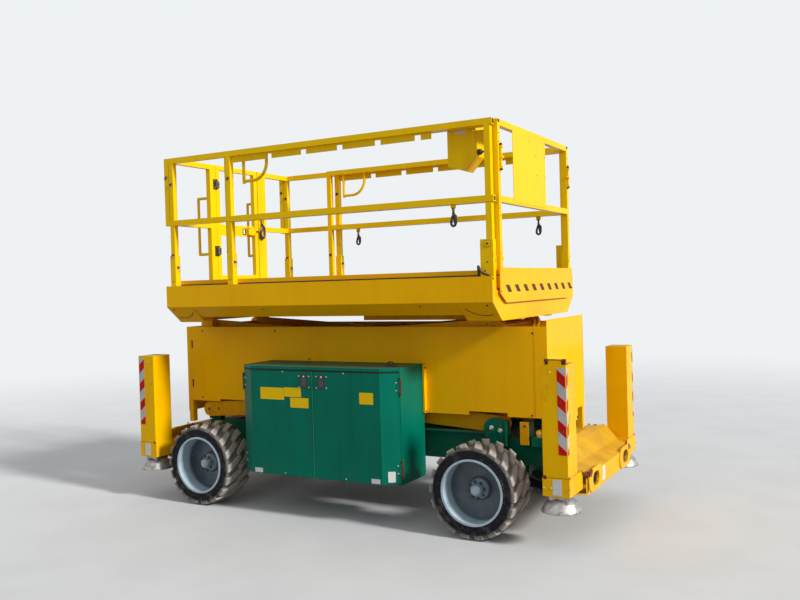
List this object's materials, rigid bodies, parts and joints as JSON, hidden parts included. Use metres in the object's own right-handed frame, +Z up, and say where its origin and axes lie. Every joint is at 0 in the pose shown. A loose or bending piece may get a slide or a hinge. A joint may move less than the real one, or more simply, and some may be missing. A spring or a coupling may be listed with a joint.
{
  "type": "scissor lift",
  "caption": "Rough-terrain scissor lift: wheeled chassis with steered axle, outriggers, engine cabinets, folding scissor stack and a railed platform with sliding deck extension.",
  "frame": {"origin": "on the ground, under the middle of the machine's bounding box", "axes": "+X to the steered end, +Y to the left side, +Z up"},
  "size_m": [3.981, 1.862, 2.96],
  "materials": {
    "yellow_paint": "gloss paint, worn",
    "green_paint": "gloss paint, worn",
    "rim_paint": "satin paint, dusty",
    "tyre": "worn rubber, dusty",
    "dark_steel": "greasy dark steel",
    "grey_steel": "bare steel, scuffed",
    "chrome": "polished rod",
    "cast_iron": "painted cast iron",
    "black_plastic": "moulded"
  },
  "bodies": {
    "root": {"chassis_frame": "green_paint", "front_axle": "green_paint", "rear_axle": "green_paint", "outrigger_beams": "yellow_paint", "outrigger_columns": "yellow_paint", "stack_guard": "yellow_paint", "cabinet_right": "green_paint", "cabinet_left": "green_paint", "engine_block": "cast_iron", "hydraulic_tank": "black_plastic"},
    "knuckle_right": {"knuckle_right": "dark_steel"},
    "knuckle_left": {"knuckle_left": "dark_steel"},
    "wheel_front_right": {"tyre_front_right": "tyre", "rim_front_right": "rim_paint"},
    "leg_front_right": {"outrigger_leg_front_right": "grey_steel"},
    "door_front_right": {"door_front_right": "green_paint"},
    "wheel_front_left": {"tyre_front_left": "tyre", "rim_front_left": "rim_paint"},
    "leg_front_left": {"outrigger_leg_front_left": "grey_steel"},
    "door_front_left": {"door_front_left": "green_paint"},
    "wheel_rear_right": {"tyre_rear_right": "tyre", "rim_rear_right": "rim_paint"},
    "leg_rear_right": {"outrigger_leg_rear_right": "grey_steel"},
    "door_rear_right": {"door_rear_right": "green_paint"},
    "wheel_rear_left": {"tyre_rear_left": "tyre", "rim_rear_left": "rim_paint"},
    "leg_rear_left": {"outrigger_leg_rear_left": "grey_steel"},
    "door_rear_left": {"door_rear_left": "green_paint"},
    "arm_1_outer": {"arm_1_outer": "yellow_paint"},
    "arm_1_inner": {"arm_1_inner": "yellow_paint"},
    "arm_2_outer": {"arm_2_outer": "yellow_paint"},
    "arm_2_inner": {"arm_2_inner": "yellow_paint"},
    "arm_3_outer": {"arm_3_outer": "yellow_paint"},
    "arm_3_inner": {"arm_3_inner": "yellow_paint"},
    "arm_4_outer": {"arm_4_outer": "yellow_paint"},
    "arm_4_inner": {"arm_4_inner": "yellow_paint"},
    "cylinder_barrel": {"lift_cylinder_barrel": "yellow_paint"},
    "cylinder_rod": {"lift_cylinder_rod": "chrome"},
    "platform": {"main_deck": "yellow_paint", "deck_frame": "yellow_paint", "deck_hangers": "yellow_paint", "side_rail_right": "yellow_paint", "side_rail_left": "yellow_paint", "rear_rail": "yellow_paint", "corner_cable": "black_plastic"},
    "gate": {"gate": "yellow_paint"},
    "extension": {"extension_deck": "yellow_paint", "extension_rails": "yellow_paint", "extension_front_rail": "yellow_paint", "control_box": "yellow_paint"}
  },
  "joints": [
    {"name": "steer_right", "type": "hinge", "parent": "root", "child": "knuckle_right", "pos_m": [1.232, -0.52, 0.34], "axis": [0, 0, 1], "range_deg": [-30, 30]},
    {"name": "steer_left", "type": "hinge", "parent": "root", "child": "knuckle_left", "pos_m": [1.232, 0.52, 0.34], "axis": [0, 0, 1], "range_deg": [-30, 30]},
    {"name": "wheel_front_right_spin", "type": "hinge", "parent": "knuckle_right", "child": "wheel_front_right", "pos_m": [1.232, -0.7435, 0.34], "axis": [0, 1, 0], "continuous": true},
    {"name": "wheel_front_left_spin", "type": "hinge", "parent": "knuckle_left", "child": "wheel_front_left", "pos_m": [1.232, 0.7435, 0.34], "axis": [0, 1, 0], "continuous": true},
    {"name": "wheel_rear_right_spin", "type": "hinge", "parent": "root", "child": "wheel_rear_right", "pos_m": [-1.29, -0.7435, 0.34], "axis": [0, 1, 0], "continuous": true},
    {"name": "wheel_rear_left_spin", "type": "hinge", "parent": "root", "child": "wheel_rear_left", "pos_m": [-1.29, 0.7435, 0.34], "axis": [0, 1, 0], "continuous": true},
    {"name": "outrigger_front_right", "type": "slide", "parent": "root", "child": "leg_front_right", "axis": [0, 0, -1], "range_m": [0, 0.255]},
    {"name": "outrigger_front_left", "type": "slide", "parent": "root", "child": "leg_front_left", "axis": [0, 0, -1], "range_m": [0, 0.255]},
    {"name": "outrigger_rear_right", "type": "slide", "parent": "root", "child": "leg_rear_right", "axis": [0, 0, -1], "range_m": [0, 0.255]},
    {"name": "outrigger_rear_left", "type": "slide", "parent": "root", "child": "leg_rear_left", "axis": [0, 0, -1], "range_m": [0, 0.255]},
    {"name": "door_front_right_hinge", "type": "hinge", "parent": "root", "child": "door_front_right", "pos_m": [0.653, -0.83, 0.76], "axis": [0, 0, 1], "range_deg": [0, 100]},
    {"name": "door_rear_right_hinge", "type": "hinge", "parent": "root", "child": "door_rear_right", "pos_m": [-0.825, -0.83, 0.76], "axis": [0, 0, -1], "range_deg": [0, 100]},
    {"name": "door_front_left_hinge", "type": "hinge", "parent": "root", "child": "door_front_left", "pos_m": [0.653, 0.83, 0.76], "axis": [0, 0, -1], "range_deg": [0, 100]},
    {"name": "door_rear_left_hinge", "type": "hinge", "parent": "root", "child": "door_rear_left", "pos_m": [-0.825, 0.83, 0.76], "axis": [0, 0, 1], "range_deg": [0, 100]},
    {"name": "scissor_lift", "type": "hinge", "parent": "root", "child": "arm_1_outer", "pos_m": [-1.57, 0, 0.74], "axis": [0, -1, 0], "range_deg": [0, 48]},
    {"name": "arm_1_inner_pivot", "type": "hinge", "parent": "arm_1_outer", "child": "arm_1_inner", "pos_m": [-0.16304, 0, 0.8325], "axis": [0, -1, 0], "range_deg": [-96, 0]},
    {"name": "arm_2_outer_pivot", "type": "hinge", "parent": "arm_1_inner", "child": "arm_2_outer", "pos_m": [-1.57, 0, 0.925], "axis": [0, -1, 0], "range_deg": [0, 96]},
    {"name": "arm_2_inner_pivot", "type": "hinge", "parent": "arm_2_outer", "child": "arm_2_inner", "pos_m": [-0.16304, 0, 1.0175], "axis": [0, -1, 0], "range_deg": [-96, 0]},
    {"name": "arm_3_outer_pivot", "type": "hinge", "parent": "arm_2_inner", "child": "arm_3_outer", "pos_m": [-1.57, 0, 1.11], "axis": [0, -1, 0], "range_deg": [0, 96]},
    {"name": "arm_3_inner_pivot", "type": "hinge", "parent": "arm_3_outer", "child": "arm_3_inner", "pos_m": [-0.16304, 0, 1.2025], "axis": [0, -1, 0], "range_deg": [-96, 0]},
    {"name": "arm_4_outer_pivot", "type": "hinge", "parent": "arm_3_inner", "child": "arm_4_outer", "pos_m": [-1.57, 0, 1.295], "axis": [0, -1, 0], "range_deg": [0, 96]},
    {"name": "arm_4_inner_pivot", "type": "hinge", "parent": "arm_4_outer", "child": "arm_4_inner", "pos_m": [-0.16304, 0, 1.3875], "axis": [0, -1, 0], "range_deg": [-96, 0]},
    {"name": "platform_pivot", "type": "hinge", "parent": "arm_4_inner", "child": "platform", "pos_m": [-1.57, 0, 1.48], "axis": [0, -1, 0], "range_deg": [0, 48]},
    {"name": "cylinder_foot_pivot", "type": "hinge", "parent": "arm_1_inner", "child": "cylinder_barrel", "pos_m": [1.04436, 0, 0.75312], "axis": [0, 1, 0], "range_deg": [0, 14.14]},
    {"name": "cylinder_rod_slide", "type": "slide", "parent": "cylinder_barrel", "child": "cylinder_rod", "axis": [-0.9896, 0, 0.1441], "range_m": [0, 1.9465]},
    {"name": "deck_extension", "type": "slide", "parent": "platform", "child": "extension", "axis": [1, 0, 0], "range_m": [0, 1.35]},
    {"name": "gate_hinge", "type": "hinge", "parent": "platform", "child": "gate", "pos_m": [-1.5115, -0.29, 2.4], "axis": [0, 0, -1], "range_deg": [0, 90], "stiffness_Nm_per_rad": 4}
  ],
  "couplings": [
    {"joint": "steer_left", "follows": "steer_right", "ratio": 1},
    {"joint": "arm_1_inner_pivot", "follows": "scissor_lift", "ratio": -2},
    {"joint": "arm_2_outer_pivot", "follows": "scissor_lift", "ratio": 2},
    {"joint": "arm_2_inner_pivot", "follows": "scissor_lift", "ratio": -2},
    {"joint": "arm_3_outer_pivot", "follows": "scissor_lift", "ratio": 2},
    {"joint": "arm_3_inner_pivot", "follows": "scissor_lift", "ratio": -2},
    {"joint": "arm_4_outer_pivot", "follows": "scissor_lift", "ratio": 2},
    {"joint": "arm_4_inner_pivot", "follows": "scissor_lift", "ratio": -2},
    {"joint": "platform_pivot", "follows": "scissor_lift", "ratio": 1},
    {"joint": "cylinder_foot_pivot", "follows": "scissor_lift", "ratio": 0.29444},
    {"joint": "cylinder_rod_slide", "follows": "scissor_lift", "m_per_rad": 2.3223}
  ]
}
